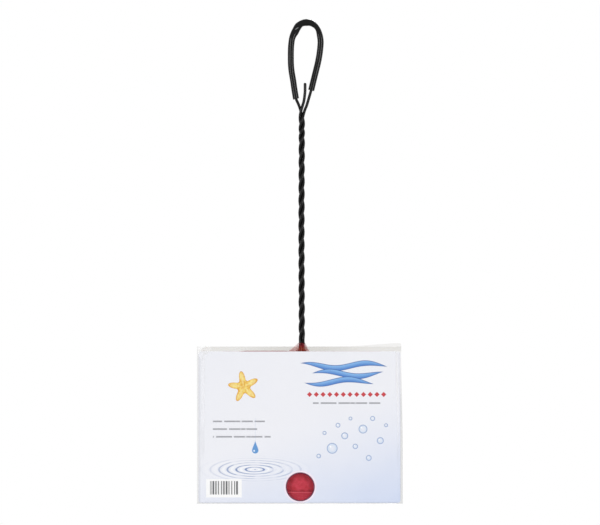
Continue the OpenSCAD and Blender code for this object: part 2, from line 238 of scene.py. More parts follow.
# The handle is one plastic-coated wire bent double, from the frame up through the grip loop and
# down again, and a second one with a free domed tip. Their three strands are twisted together.
WIRE_D = 3.0
SHAFT_LEN = 222
TWIST_TURNS = 5.6
LAY_LEN = SHAFT_LEN / TWIST_TURNS
LAY_ANGLE = math.atan(math.pi * WIRE_D * 2 / math.sqrt(3) / LAY_LEN)
STRAND_PLAY = 0.13
STRAND_R = WIRE_D / 2 * math.sqrt(1 + 1 / (3 * math.cos(LAY_ANGLE) ** 2)) + STRAND_PLAY
TIP_PHASE = 111
STRAND_ANGLE = 120
LOOP_W = 30.6
AXIS_X = -0.17 * LOOP_W
CROWN_Z = 7.25
LOOP_STEP = 1.2

# Each bend of the loop, from its crown down: the straight run before it and its radius, as shares
# of the loop's width, and its turn in degrees.
LEFT_BEND_SHARES = [(0, 0.376, 47), (0, 0.88, 36), (0, 2.95, 6), (0.425, 2.95, 11), (0.69, 0.23, 6)]
RIGHT_BEND_SHARES = [(0, 0.333, 36), (0, 0.542, 25), (0, 0.918, 34), (0, 5.1, 8.4), (0.833, 0.2, 3)]

# Where each strand starts to leave the twist, and over what length it does so, as shares of a turn.
LEFT_SPLAY_SHARES = (0.174, 0.348)
RIGHT_SPLAY_SHARES = (0.005, 0.358)
TIP_SPLAY_SHARES = (0.332, 0.405)
TIP_X = 0.111 * LOOP_W
TIP_Y = -0.28 * WIRE_D
TIP_RISE = 16.9
TOP_SPLAY = 0.52
FOOT_SPLAY = 0.3 * LAY_LEN
END_TWIST = 60
END_TWIST_START = -0.604
END_TWIST_RUN = 0.546
SHOULDER_R = 5
NECK_RUN = 5
NECK_LEN = NECK_RUN + SHOULDER_R
FOOT_X = 1.6
FOOT_BACK = (0.12 * WIRE_D, 0.95 * WIRE_D)
CUT_END = 0.65 * NECK_LEN
SHAFT_BOW = -0.3
STRAND_STEP = 1.3


def loop_side(bends):
    """Points [x, z] and headings along one side of the loop, from the crown to the tube's end."""
    x, z, heading = 0.0, 0.0, math.pi
    stations = []
    for run_share, radius_share, turn in bends:
        run, radius, turn = run_share * LOOP_W, radius_share * LOOP_W, math.radians(turn)
        steps = max(1, round(run / LOOP_STEP)) if run else 0
        for k in range(steps):
            x += run / steps * math.cos(heading)
            z += run / steps * math.sin(heading)
            stations.append((x, z, heading))
        steps = max(2, round(radius * turn / LOOP_STEP))
        centre_x, centre_z = x - radius * math.sin(heading), z + radius * math.cos(heading)
        for k in range(1, steps + 1):
            at = heading + turn * k / steps
            x, z = centre_x + radius * math.sin(at), centre_z - radius * math.cos(at)
            stations.append((x, z, at))
        heading += turn
    return stations


left_side = loop_side(LEFT_BEND_SHARES)
right_side = [(-x, z, heading) for x, z, heading in loop_side(RIGHT_BEND_SHARES)]
loop_path = [
    Vector((x, 0, CROWN_Z + z)) for x, z, _ in [*reversed(left_side), (0, 0, 0), *right_side]
]
left_x, left_z = left_side[-1][0] - AXIS_X, CROWN_Z + left_side[-1][1]
left_slope = 1 / math.tan(left_side[-1][2])
right_x, right_z = right_side[-1][0] - AXIS_X, CROWN_Z + right_side[-1][1]
right_slope = -1 / math.tan(right_side[-1][2])
tip_z = left_z + TIP_RISE
twist_top_z = left_z - TOP_SPLAY * LAY_LEN
foot_z = twist_top_z - SHAFT_LEN - FOOT_SPLAY


def smooth(t):
    t = max(0.0, min(1.0, t))
    return t * t * (3 - 2 * t)


def strand_path(phase, leg, splay, foot, low_z, high_z):
    """Points up one strand. leg is its line above the twist, as (x, slope, z, y)."""
    count = round((high_z - low_z) / STRAND_STEP)
    points = []
    for k in range(count + 1):
        z = low_z + (high_z - low_z) * k / count
        over = (z - twist_top_z) / LAY_LEN
        tighter = END_TWIST * smooth((over - END_TWIST_START) / END_TWIST_RUN)
        angle = math.radians(phase + 360 * over + tighter)
        up = smooth((over - splay[0]) / splay[1])
        down = smooth((foot_z + FOOT_SPLAY - z) / FOOT_SPLAY)
        leg_x = leg[0] + leg[1] * (z - leg[2])
        x = STRAND_R * math.cos(angle) * (1 - up) + leg_x * up
        y = STRAND_R * math.sin(angle) * (1 - up) + leg[3] * up
        shaft_share = min(1.0, max(0.0, (z - foot_z) / (twist_top_z - foot_z)))
        bow = SHAFT_BOW * math.sin(math.pi * shaft_share) ** 2
        x = x * (1 - down) + foot[0] * down + bow + AXIS_X
        y = y * (1 - down) + foot[1] * down
        points.append(Vector((x, y, z)))
    return points


class Growth(Graph):
    """A Geometry Nodes tree with named sizes, which ends in real faces of one material."""

    def __init__(self, name, sizes):
        super().__init__(bpy.data.node_groups.new(name, "GeometryNodeTree"))
        sockets = self.tree.interface
        sockets.new_socket("Geometry", in_out="OUTPUT", socket_type="NodeSocketGeometry")
        sockets.new_socket("Geometry", in_out="INPUT", socket_type="NodeSocketGeometry")
        for size in sizes:
            sockets.new_socket(size, in_out="INPUT", socket_type="NodeSocketFloat")
        self.given = self.tree.nodes.new("NodeGroupInput")
        self.carrier = self.size("Geometry")

    def size(self, name):
        return Link(self, self.given.outputs[name])

    def end(self, geometry, material):
        real = self.node("GeometryNodeRealizeInstances", values=[geometry])
        values = {"Geometry": real, "Material": material}
        done = self.node("GeometryNodeSetMaterial", values=values)
        group_end = self.tree.nodes.new("NodeGroupOutput")
        self.feed(group_end.inputs["Geometry"], done)

    def grow(self, name, points, edges, **sizes):
        """Runs the tree on a carrier of loose edges and keeps the result as a plain mesh."""
        carrier = add_piece(name + "_carrier", points, edges=edges)
        modifier = carrier.modifiers.new("growth", "NODES")
        modifier.node_group = self.tree
        for item in self.tree.interface.items_tree:
            if item.in_out == "INPUT" and item.name in sizes:
                modifier[item.identifier] = float(sizes[item.name])
        shapes = bpy.context.evaluated_depsgraph_get()
        mesh = bpy.data.meshes.new_from_object(carrier.evaluated_get(shapes), depsgraph=shapes)
        bpy.data.objects.remove(carrier)
        mesh.shade_smooth()
        return new_object(name, mesh)


def add_piece(name, points, faces=(), edges=(), material=None):
    """A mesh object at the origin, from points in millimetres."""
    mesh = bpy.data.meshes.new(name)
    mesh.from_pydata([Vector(p) * MM for p in points], list(edges), list(faces))
    if material:
        mesh.materials.append(material)
    if faces:
        mesh.shade_smooth()
    return new_object(name, mesh)


def line_edges(count, first=0):
    return [(first + k, first + k + 1) for k in range(count - 1)]


def sweep_tree(name, material, sides):
    """A round section drawn along every line of the carrier, with its ends closed."""
    tree = Growth(name, ["Radius"])
    line = tree.node("GeometryNodeMeshToCurve", values=[tree.carrier])
    round_values = {"Resolution": sides, "Radius": tree.size("Radius")}
    section = tree.node("GeometryNodeCurvePrimitiveCircle", values=round_values)
    sweep = {"Curve": line, "Profile Curve": section, "Fill Caps": True}
    tree.end(tree.node("GeometryNodeCurveToMesh", values=sweep), material)
    return tree


coat = Finish("wire_coat", roughness=0.3, specular_ior_level=0.17)
coat_flow = coat.noise(9.0, 3.0)
coat.paint("Base Color", coat.mix(coat_flow, colour(4, 4, 4), colour(12, 12, 12)))
coat.paint("Roughness", 0.16 + 0.1 * coat.noise(3.0))
coat.bump(coat.noise(1.4, 1.0), 0.05, 0.6)

wire_tree = sweep_tree("wire along a line", coat.material, 16)
left_strand = strand_path(
    TIP_PHASE - STRAND_ANGLE, (left_x, left_slope, left_z, 0), LEFT_SPLAY_SHARES,
    FOOT_BACK, foot_z - CUT_END, left_z,
)
right_strand = strand_path(
    TIP_PHASE + STRAND_ANGLE, (right_x, right_slope, right_z, 0), RIGHT_SPLAY_SHARES,
    (FOOT_X, 0), foot_z, right_z,
)
tip_strand = strand_path(
    TIP_PHASE, (TIP_X, 0, tip_z, TIP_Y), TIP_SPLAY_SHARES,
    (-FOOT_X, 0), foot_z, tip_z - WIRE_D / 2,
)
wire_r = WIRE_D / 2
loop_wire_path = [*left_strand[:-1], *loop_path, *reversed(right_strand[:-1])]
loop_wire_edges = line_edges(len(loop_wire_path))
loop_wire = wire_tree.grow("loop_wire", loop_wire_path, loop_wire_edges, Radius=wire_r * MM)
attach(loop_wire, "net")
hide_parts("handle_strand_left", "grip_loop_wire", "handle_strand_right")

# The free tip is domed by a ball round its strand's end, built ring by ring from pole to pole.
BALL_RINGS = 10
BALL_SIDES = 16
tip_wire = wire_tree.grow("tip_wire", tip_strand, line_edges(len(tip_strand)), Radius=wire_r * MM)
tip_shape = bmesh.new()
tip_shape.from_mesh(tip_wire.data)
ball_rings = []
for k in range(BALL_RINGS + 1):
    down = math.pi * k / BALL_RINGS
    ring = []
    for side in range(BALL_SIDES if 0 < k < BALL_RINGS else 1):
        turn = 2 * math.pi * side / BALL_SIDES
        across = math.sin(down)
        spoke = Vector((across * math.cos(turn), across * math.sin(turn), math.cos(down)))
        ring.append(tip_shape.verts.new((tip_strand[-1] + wire_r * spoke) * MM))
    ball_rings.append(ring)
for upper, lower in zip(ball_rings, ball_rings[1:]):
    for side in range(BALL_SIDES):
        after = side + 1
        corners = [upper[side % len(upper)], lower[side % len(lower)],
                   lower[after % len(lower)], upper[after % len(upper)]]
        tip_shape.faces.new(dict.fromkeys(corners))
tip_shape.to_mesh(tip_wire.data)
tip_shape.free()
tip_wire.data.shade_smooth()
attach(tip_wire, "net")
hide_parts("handle_strand_tip")


# The grip tube is a length of soft vinyl hose pushed over the wire loop. Its wall is uneven where
# it is bent most, and a small painted highlight runs along the crease inside the left shoulder.
# Each dent gives its middle, its reach, and how far the inner and outer sides of the bend stand
# out there.
TUBE_R = 3.25
BORE_R = 1.95
TUBE_SIDES = 24
FLATTENING = 0.06
CREASE = (-10.4, 0.5)
CREASE_TILT = math.radians(33.5)
CREASE_REACH = 2.8
CREASE_WIDTH = 0.7
DENTS = [
    (Vector((-12.8, 0, -2.5)), 5.0, 1.35, 0.0),
    (Vector((-9.7, 0, 3.2)), 3.2, 0.5, 0.6),
    (Vector((-0.3, 0, 6.8)), 4.2, 0.8, 0.0),
    (Vector((10.6, 0, 0.6)), 5.5, -1.2, 0.1),
    (Vector((-16.2, 0, -24)), 13.0, -0.4, 0.4),
    (Vector((-14.3, 0, -51)), 9.0, 0.4, -0.4),
    (Vector((12.6, 0, -30)), 18.0, -0.2, 0.3),
]

vinyl = Finish("grip_vinyl", roughness=0.3, specular_ior_level=0.17)
crease_x = vinyl.along(0) - CREASE[0]
crease_z = vinyl.along(2) - CREASE[1]
tilt_cos = math.cos(CREASE_TILT)
tilt_sin = math.sin(CREASE_TILT)
crease_length = (crease_x * tilt_cos + crease_z * tilt_sin) / CREASE_REACH
crease_width = (crease_z * tilt_cos - crease_x * tilt_sin) / CREASE_WIDTH
# A pale line painted along the crease stands in for a highlight there.
crease_highlight = (1 - crease_length ** 2 - crease_width ** 2).rise(0.0, 0.9)
vinyl_tone = vinyl.mix(vinyl.noise(14.0), colour(3, 3, 3), colour(12, 13, 13))
vinyl.paint("Base Color", vinyl.mix(crease_highlight * 0.6, vinyl_tone, colour(150, 152, 152)))
vinyl.paint("Roughness", 0.08 + 0.07 * vinyl.noise(5.0, 3.0))
vinyl.bump(vinyl.noise(4.0, 2.0), 0.08, 0.3)


def tube_ring(path, k, radius):
    """One ring of the tube, square to its path, with the dents near it."""
    along = (path[min(k + 1, len(path) - 1)] - path[max(k - 1, 0)]).normalized()
    across = Vector((0, 1, 0)).cross(along)
    inner_swell = outer_swell = 0.0
    for middle, reach, inner, outer in DENTS:
        near = math.exp(-((path[k] - middle).length / reach) ** 2)
        inner_swell += inner * near
        outer_swell += outer * near
    depth = radius * (1 - FLATTENING * (inner_swell + outer_swell))
    ring = []
    for side in range(TUBE_SIDES):
        angle = 2 * math.pi * side / TUBE_SIDES
        inwards = math.cos(angle)
        r = radius + inner_swell * max(0.0, inwards) + outer_swell * max(0.0, -inwards)
        ring.append(path[k] + r * inwards * across + depth * math.sin(angle) * Vector((0, 1, 0)))
    return ring


tube_points = []
for radius in (TUBE_R, BORE_R):
    for k in range(len(loop_path)):
        tube_points.extend(tube_ring(loop_path, k, radius))
bore_first = len(loop_path) * TUBE_SIDES
tube_faces = []
for k in range(len(loop_path) - 1):
    for side in range(TUBE_SIDES):
        a, b = k * TUBE_SIDES + side, k * TUBE_SIDES + (side + 1) % TUBE_SIDES
        tube_faces.append((a, b, b + TUBE_SIDES, a + TUBE_SIDES))
        tube_faces.append((bore_first + b, bore_first + a, bore_first + a + TUBE_SIDES,
                           bore_first + b + TUBE_SIDES))
for k in (0, len(loop_path) - 1):
    for side in range(TUBE_SIDES):
        a, b = k * TUBE_SIDES + side, k * TUBE_SIDES + (side + 1) % TUBE_SIDES
        end_face = (b, a, bore_first + a, bore_first + b)
        tube_faces.append(end_face if k == 0 else tuple(reversed(end_face)))


def face_outwards(piece, sharp_degrees):
    """Turns a closed mesh's faces outwards and keeps its sharp edges crisp."""
    shape = bmesh.new()
    shape.from_mesh(piece.data)
    bmesh.ops.recalc_face_normals(shape, faces=shape.faces)
    shape.to_mesh(piece.data)
    shape.free()
    piece.data.shade_smooth()
    piece.data.set_sharp_from_angle(angle=math.radians(sharp_degrees))


grip_tube = add_piece("grip_tube_vinyl", tube_points, tube_faces, material=vinyl.material)
face_outwards(grip_tube, sharp_degrees=50)
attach(grip_tube, "net")
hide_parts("grip_tube")


# The frame is one more length of the coated wire, bent into a rectangle with two shoulders at
# the neck. The CAD solid has its shape, and gets the wire's coat.
FRAME_W = 195
FRAME_H = 152
CORNER_R = 15

frame_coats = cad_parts["frame_wire"].data.materials
frame_coats.clear()
frame_coats.append(coat.material)
bar_top_z = foot_z - NECK_LEN
bar_bottom_z = bar_top_z - FRAME_H


# The hem is a woven tape folded round the frame's wire. Its two plies are sewn together just
# inside the wire with one line of straight stitches.
TAPE_T = 0.4
THREAD_PITCH = 0.55
HEM_R = 1.83
ROUND_START = 48
ROUND_STEPS = 10
TAIL_REACH = 8.05
TAIL_Y = 0.24
HEM_STEP = 2.6
TOP_BULGE = 0.55
BULGE_LEFT = -72
BULGE_RIGHT = -16
BULGE_LEFT_EASE = 10
BULGE_RIGHT_EASE = 8
LOOSE_FROM = 3
HEM_RIPPLES = [(0.22, 6.1, 0), (0.1, 2.3, 1)]
HEM_EDGE_WAVES = [(0.3, 9.7, 2)]
CORNER_STEPS = 9
STITCH_LINE = 5.4
STITCH_PITCH = 3.1
STITCH_LEN = 2.4
STITCH_R = 0.17
hem_half_w = FRAME_W / 2


def hoop(inwards):
    """Stations (point, direction inwards) round the frame, from the left shoulder to the right
    one, on a line that lies a distance inwards from the wire's centre."""
    bar_run = hem_half_w - CORNER_R - SHOULDER_R - FOOT_X
    side_run = FRAME_H - 2 * CORNER_R
    x, z, heading = -FOOT_X - SHOULDER_R, bar_top_z, math.pi
    stations = []
    runs = (bar_run, side_run, 2 * (hem_half_w - CORNER_R), side_run, bar_run)
    for number, run in enumerate(runs):
        steps = round(run / HEM_STEP)
        for k in range(steps):
            at = run * k / steps
            stations.append((x + at * math.cos(heading), z + at * math.sin(heading), heading))
        x, z = x + run * math.cos(heading), z + run * math.sin(heading)
        if number == len(runs) - 1:
            break
        centre_x, centre_z = x - CORNER_R * math.sin(heading), z + CORNER_R * math.cos(heading)
        for k in range(CORNER_STEPS):
            at = heading + math.pi / 2 * k / CORNER_STEPS
            corner_x, corner_z = CORNER_R * math.sin(at), -CORNER_R * math.cos(at)
            stations.append((centre_x + corner_x, centre_z + corner_z, at))
        heading += math.pi / 2
        x, z = centre_x + CORNER_R * math.sin(heading), centre_z - CORNER_R * math.cos(heading)
    stations.append((x, z, heading))
    line = []
    for x, z, heading in stations:
        inward = Vector((-math.sin(heading), 0, math.cos(heading)))
        line.append((Vector((x + AXIS_X, 0, z)) + inwards * inward, inward))
    return line


cloth = Finish("hem_cloth", roughness=0.85, specular_ior_level=0.12)
weave = cloth.wave(0, THREAD_PITCH) * cloth.wave(2, THREAD_PITCH)
cloth_tone = cloth.mix(cloth.noise(7.0, 3.0), colour(172, 48, 64), colour(200, 64, 80))
cloth_tone = cloth.mix(weave.rise(-0.6, 0.9) * 0.4, cloth_tone, colour(208, 80, 94))
from_sides = hem_half_w - abs(cloth.along(0) - AXIS_X)
from_bars = (cloth.along(2) - bar_bottom_z).least(bar_top_z - cloth.along(2))
selvedge = from_sides.least(from_bars).rise(TAIL_REACH - 1.6, TAIL_REACH - 0.7)
cloth.paint("Base Color", cloth.mix(selvedge * 0.8, cloth_tone, colour(224, 96, 110)))
cloth.bump(weave + cloth.noise(0.6), 0.12, 0.7)


def waves_at(length, waves):
    """Sum of a few sine waves, each given as its height, its length over 2 pi and its shift."""
    return sum(height * math.sin(length / run + shift) for height, run, shift in waves)


front_tail = [(TAIL_REACH, -TAIL_Y), (6.4, -TAIL_Y), (4.8, -TAIL_Y), (3.7, -0.34), (2.6, -0.8)]
hem_round = []
for k in range(ROUND_STEPS + 1):
    angle = math.radians(ROUND_START + (360 - 2 * ROUND_START) * k / ROUND_STEPS)
    hem_round.append((HEM_R * math.cos(angle), -HEM_R * math.sin(angle)))
hem_section = [*front_tail, *hem_round, *((a, -b) for a, b in reversed(front_tail))]
hem_line = hoop(0)
hem_points = []
for k, (point, inward) in enumerate(hem_line):
    ripple = waves_at(k * HEM_STEP, HEM_RIPPLES)
    edge = waves_at(k * HEM_STEP, HEM_EDGE_WAVES)
    lift = 0.0
    if abs(point.z - bar_top_z) < TAPE_T:
        left_ease = smooth((point.x - BULGE_LEFT) / BULGE_LEFT_EASE)
        right_ease = smooth((BULGE_RIGHT - point.x) / BULGE_RIGHT_EASE)
        lift = TOP_BULGE * left_ease * right_ease
    for inwards, y in hem_section:
        loose = max(0.0, inwards - LOOSE_FROM) / TAIL_REACH
        across = inwards + edge * loose - lift * (1 - loose)
        hem_points.append(point + across * inward + Vector((0, y + ripple * loose, 0)))


def grid_faces(rows, columns):
    """Faces of a grid of points that was listed row by row."""
    return [
        (r * columns + c, r * columns + c + 1, (r + 1) * columns + c + 1, (r + 1) * columns + c)
        for r in range(rows - 1) for c in range(columns - 1)
    ]


def thicken(piece, thickness_mm):
    """Gives a sheet its thickness on both sides of its middle surface, with a closed rim."""
    wall = piece.modifiers.new("wall", "SOLIDIFY")
    wall.thickness = thickness_mm * MM
    wall.offset = 0
    wall.use_even_offset = True
    shapes = bpy.context.evaluated_depsgraph_get()
    mesh = bpy.data.meshes.new_from_object(piece.evaluated_get(shapes), depsgraph=shapes)
    piece.modifiers.clear()
    piece.data = mesh
    face_outwards(piece, sharp_degrees=60)


hem_faces = grid_faces(len(hem_line), len(hem_section))
hem = add_piece("hem_tape_cloth", hem_points, hem_faces, material=cloth.material)
thicken(hem, TAPE_T)
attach(hem, "net")
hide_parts("hem_tape")

sewing = Finish("sewing_thread", roughness=0.6, sheen_weight=0.2)
sewing_tone = sewing.mix(sewing.noise(2.0), colour(170, 40, 52), colour(200, 72, 84))
sewing.paint("Base Color", sewing_tone)
stitch_tree = Growth("straight stitches", ["Pitch", "Length", "Radius"])
stitch_line = stitch_tree.node("GeometryNodeMeshToCurve", values=[stitch_tree.carrier])
stitch_spacing = {"Curve": stitch_line, "Length": stitch_tree.size("Pitch")}
stitch_points = stitch_tree.node("GeometryNodeCurveToPoints", {"mode": "LENGTH"}, stitch_spacing)
stitch_values = {
    "Vertices": 5, "Radius": stitch_tree.size("Radius"), "Depth": stitch_tree.size("Length")
}
stitch_shape = stitch_tree.node("GeometryNodeMeshCylinder", values=stitch_values)
stitch_turn = stitch_tree.node(
    "FunctionNodeAlignRotationToVector", {"axis": "Z"},
    {"Vector": Link(stitch_tree, stitch_points.socket.node.outputs["Tangent"])},
)
stitch_places = {"Points": stitch_points, "Instance": stitch_shape, "Rotation": stitch_turn}
stitch_tree.end(stitch_tree.node("GeometryNodeInstanceOnPoints", values=stitch_places), sewing.material)
stitch_carrier = []
stitch_edges = []
for y in (-TAIL_Y - TAPE_T / 2, TAIL_Y + TAPE_T / 2):
    line = [point + Vector((0, y, 0)) for point, _ in hoop(STITCH_LINE)]
    stitch_edges += line_edges(len(line), len(stitch_carrier))
    stitch_carrier += line
stitches = stitch_tree.grow("hem_stitches", stitch_carrier, stitch_edges, Pitch=STITCH_PITCH * MM,
                            Length=STITCH_LEN * MM, Radius=STITCH_R * MM)
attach(stitches, "net")
hem_length = sum((b[0] - a[0]).length for a, b in zip(hem_line, hem_line[1:]))


# The neck cloth is a small piece of thin cloth folded over both shoulders of the frame, with the
# handle coming out of its top. Beside the wires above the card it is more see-through, and it is
# painted a paler pink there as painted light coming through it.
NECK_LEFT = 14
NECK_RIGHT = 8
NECK_W = NECK_LEFT + NECK_RIGHT
NECK_TOP_HALF = 3.6
NECK_RISE = 1
NECK_END_RISE = 2.05
NECK_LEFT_CURVE = 1.15
NECK_RIGHT_CURVE = 1.1
NECK_Y = 2.4
NECK_BACK_BULGE = 2.45
NECK_BULGE_REACH = 5.5
NECK_OPEN_HALF = 2.7
NECK_SHUT_FROM = 2.6
NECK_SHUT_RUN = 1.6
NECK_TENT_SHARE = 0.3125
NECK_PUCKER = 0.16
PUCKER_ACROSS = 1.3
PUCKER_DOWN = 0.5
NECK_T = 0.25
NECK_THREAD_PITCH = 0.5
NECK_COLUMNS = 34
NECK_ROWS = 12
neck_top_z = foot_z + NECK_RISE
neck_end_z = bar_top_z + NECK_END_RISE
neck_low_z = bar_top_z - TAIL_REACH
card_top_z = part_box("insert_card")[1].z / MM

thin_cloth = Finish("neck_cloth", roughness=0.8, specular_ior_level=0.2)
thin_tone = thin_cloth.mix(thin_cloth.noise(3.0), colour(140, 26, 36), colour(186, 50, 62))
above_card = thin_cloth.along(2).rise(card_top_z - 2, card_top_z)
beside_wires = abs(thin_cloth.along(0) - AXIS_X).rise(2.5, 7) * above_card
# Beside the wires above the card the cloth is painted a paler pink: painted light coming through it.
thin_tone = thin_cloth.mix(beside_wires, thin_tone, colour(238, 138, 142))
thin_warp = thin_cloth.wave(0, NECK_THREAD_PITCH).rise(-0.2, 0.5)
thin_weft = thin_cloth.wave(2, NECK_THREAD_PITCH).rise(-0.2, 0.5)
thin_threads = thin_warp.most(thin_weft)
thin_hem_tone = thin_cloth.mix(thin_cloth.noise(7.0, 3.0), colour(168, 44, 58), colour(196, 62, 77))
thin_cloth.paint("Base Color", thin_cloth.mix(above_card, thin_hem_tone, thin_tone))
thin_rise = thin_cloth.along(2).rise(card_top_z, neck_top_z)
thin_share = (1 - 0.75 * thin_rise) * (1 - 0.52 * beside_wires)
thin_cloth.paint("Alpha", ((0.26 + 0.42 * thin_threads) * thin_share).most(0.92 * (1 - above_card)))
thin_cloth.bump(thin_threads, 0.08, 0.6)


def neck_ridge(x):
    """Height of the folded edge over the shoulders."""
    if x < -NECK_TOP_HALF:
        share = (x + NECK_LEFT) / (NECK_LEFT - NECK_TOP_HALF)
        return neck_end_z + (neck_top_z - neck_end_z) * share ** NECK_LEFT_CURVE
    if x > NECK_TOP_HALF:
        share = (NECK_RIGHT - x) / (NECK_RIGHT - NECK_TOP_HALF)
        return neck_end_z + (neck_top_z - neck_end_z) * share ** NECK_RIGHT_CURVE
    return neck_top_z


neck_points = []
for column in range(NECK_COLUMNS + 1):
    x = -NECK_LEFT + NECK_W * column / NECK_COLUMNS
    back = NECK_Y + NECK_BACK_BULGE * math.exp(-((x / NECK_BULGE_REACH) ** 2))
    top = neck_ridge(x)
    shut = smooth((abs(x) - NECK_SHUT_FROM) / NECK_SHUT_RUN)
    for row in range(2 * NECK_ROWS + 1):
        front_side = row <= NECK_ROWS
        down = abs(row - NECK_ROWS) / NECK_ROWS
        z = top + (neck_low_z - top) * down
        side_y = -NECK_Y if front_side else back
        tent = 1 - shut * (1 - smooth(down / NECK_TENT_SHARE))
        middle_y = (back - NECK_Y) / 2 if abs(x) > NECK_TOP_HALF else side_y
        pucker = NECK_PUCKER * math.sin(x * PUCKER_ACROSS + row * PUCKER_DOWN) * down
        y = middle_y + (side_y - middle_y) * tent + (pucker if front_side else -pucker)
        neck_points.append((x + AXIS_X, y, z))
points_down = 2 * NECK_ROWS + 1
neck_faces = []
for face in grid_faces(NECK_COLUMNS + 1, points_down):
    column, row = divmod(face[0], points_down)
    column_x = -NECK_LEFT + NECK_W * (column + 0.5) / NECK_COLUMNS
    if row != NECK_ROWS or abs(column_x) >= NECK_OPEN_HALF:
        neck_faces.append(face)
neck_cloth = add_piece("neck_cloth_folded", neck_points, neck_faces, material=thin_cloth.material)
thicken(neck_cloth, NECK_T)
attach(neck_cloth, "net")
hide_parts("neck_cloth_front", "neck_cloth_back")


# The netting is soft knitted nylon in a fine square mesh. The front panel starts on the back of
# the top hem and is folded up again behind itself; the back panel sags behind the bottom hem and
# rises behind both. PLY_SLIP keeps the meshes of the three plies out of step.
MESH_PITCH = 1.1
NET_THREAD_R = 0.3
THREAD_STEP = 5.0
NET_MARGIN = 0.3
HEM_LAP = 2.4
LAP_Y = 0.95
PLY_FIRST = 2.5
PLY_STEP = 1.25
MOUTH_SLOPE = 6
FOLD_DROP = 1.2
NET_FOLD_STEPS = 6
BAG_SHARES = [(0.26, 0.06), (0.38, 0.72), (0.62, 1), (0.92, 0.72), (1, 0.33)]
BAG_DROP = 3.6
POCKET_DROP = 16
NET_WANDER = 1.1
NET_WANDER_SIZE = 34
PLY_SLIP = 0.3
FRONT_TUCK = 2
net_half_w = hem_half_w - TAIL_REACH - NET_MARGIN
front_start_z = neck_low_z - NET_MARGIN
back_start_z = bar_bottom_z + TAIL_REACH + NET_MARGIN
fold_z = back_start_z - FOLD_DROP
pocket_end_z = neck_low_z - POCKET_DROP

nylon = Finish("netting", roughness=0.55, specular_ior_level=0.06)
nylon_tone = nylon.noise(4.0, 3.0).rise(0.3, 0.7)
nylon.paint("Base Color", nylon.mix(nylon_tone, colour(217, 74, 87), colour(234, 90, 109)))
nylon.paint("Roughness", 0.5 + 0.2 * nylon.noise(4.0))

net_tree = Growth("square mesh", ["Half width", "Pitch", "Thread radius", "Step", "Wander"])
route = net_tree.node("GeometryNodeMeshToCurve", values=[net_tree.carrier])
half_w = net_tree.size("Half width")
pitch = net_tree.size("Pitch")
step = net_tree.size("Step")


def resampled(curve):
    values = {"Curve": curve, "Length": step}
    return net_tree.node("GeometryNodeResampleCurve", {"mode": "LENGTH"}, values)


def points_along(curve):
    values = {"Curve": curve, "Length": pitch}
    return net_tree.node("GeometryNodeCurveToPoints", {"mode": "LENGTH"}, values)


def at_x(value):
    return net_tree.node("ShaderNodeCombineXYZ", values=[value, 0.0, 0.0])


upright_line = net_tree.node(
    "GeometryNodeCurvePrimitiveLine", values={"Start": at_x(0 - half_w), "End": at_x(half_w)}
)
uprights = net_tree.node(
    "GeometryNodeInstanceOnPoints",
    values={"Points": points_along(upright_line), "Instance": resampled(route)},
)
crossings = net_tree.node(
    "GeometryNodeInstanceOnPoints",
    values={"Points": points_along(route), "Instance": resampled(upright_line)},
)
threads = net_tree.tree.nodes.new("GeometryNodeJoinGeometry")
for part in (uprights, crossings):
    net_tree.feed(threads.inputs["Geometry"], part)
loose_threads = net_tree.node(
    "GeometryNodeRealizeInstances", values=[Link(net_tree, threads.outputs["Geometry"])]
)
where = net_tree.node("GeometryNodeInputPosition")
drift = net_tree.node(
    "ShaderNodeTexNoise", {"noise_dimensions": "3D"},
    {"Vector": where, "Scale": 1 / (NET_WANDER_SIZE * MM), "Detail": 1.0}, output="Color",
)
centred = net_tree.node("ShaderNodeVectorMath", {"operation": "SUBTRACT"}, [drift, (0.5, 0.5, 0.5)])
wander = net_tree.size("Wander")
reach = net_tree.node("ShaderNodeCombineXYZ", values=[wander * 2, wander * 0.5, wander * 2])
moved = net_tree.node("ShaderNodeVectorMath", {"operation": "MULTIPLY"}, [centred, reach])
depth = net_tree.node("ShaderNodeSeparateXYZ", values=[where], output=1)
slip = (depth - (PLY_FIRST + PLY_STEP) * MM) * PLY_SLIP
stepped = net_tree.node("ShaderNodeCombineXYZ", values=[slip, 0.0, slip])
offset = net_tree.node("ShaderNodeVectorMath", {"operation": "ADD"}, [moved, stepped])
soft_threads = net_tree.node(
    "GeometryNodeSetPosition", values={"Geometry": loose_threads, "Offset": offset}
)
thread_section = net_tree.node(
    "GeometryNodeCurvePrimitiveCircle",
    values={"Resolution": 4, "Radius": net_tree.size("Thread radius")},
)
net_tree.end(
    net_tree.node(
        "GeometryNodeCurveToMesh",
        values={"Curve": soft_threads, "Profile Curve": thread_section, "Fill Caps": True},
    ),
    nylon.material,
)

fold_points = []
for k in range(NET_FOLD_STEPS + 1):
    angle = math.pi * k / NET_FOLD_STEPS
    fold_y = PLY_FIRST + PLY_STEP / 2 * (1 - math.cos(angle))
    fold_points.append((fold_y, fold_z - PLY_STEP / 2 * math.sin(angle)))
front_route = [(LAP_Y, neck_low_z + HEM_LAP), (LAP_Y, front_start_z),
               (PLY_FIRST, front_start_z - MOUTH_SLOPE), *fold_points,
               (PLY_FIRST + PLY_STEP, pocket_end_z)]
back_ply_y = PLY_FIRST + 2 * PLY_STEP
back_route = [(0, back_start_z)]
back_route += [(across * back_ply_y, back_start_z - down * BAG_DROP) for across, down in BAG_SHARES]
back_route += [(back_ply_y, pocket_end_z)]
NET_PANELS = {
    "net_front_mesh": (
        ("net_mouth_strip", "net_front_ply", "net_folded_ply"), front_route, net_half_w + FRONT_TUCK
    ),
    "net_back_mesh": (("net_bottom_strip", "net_back_ply"), back_route, net_half_w),
}
net_pieces = {}
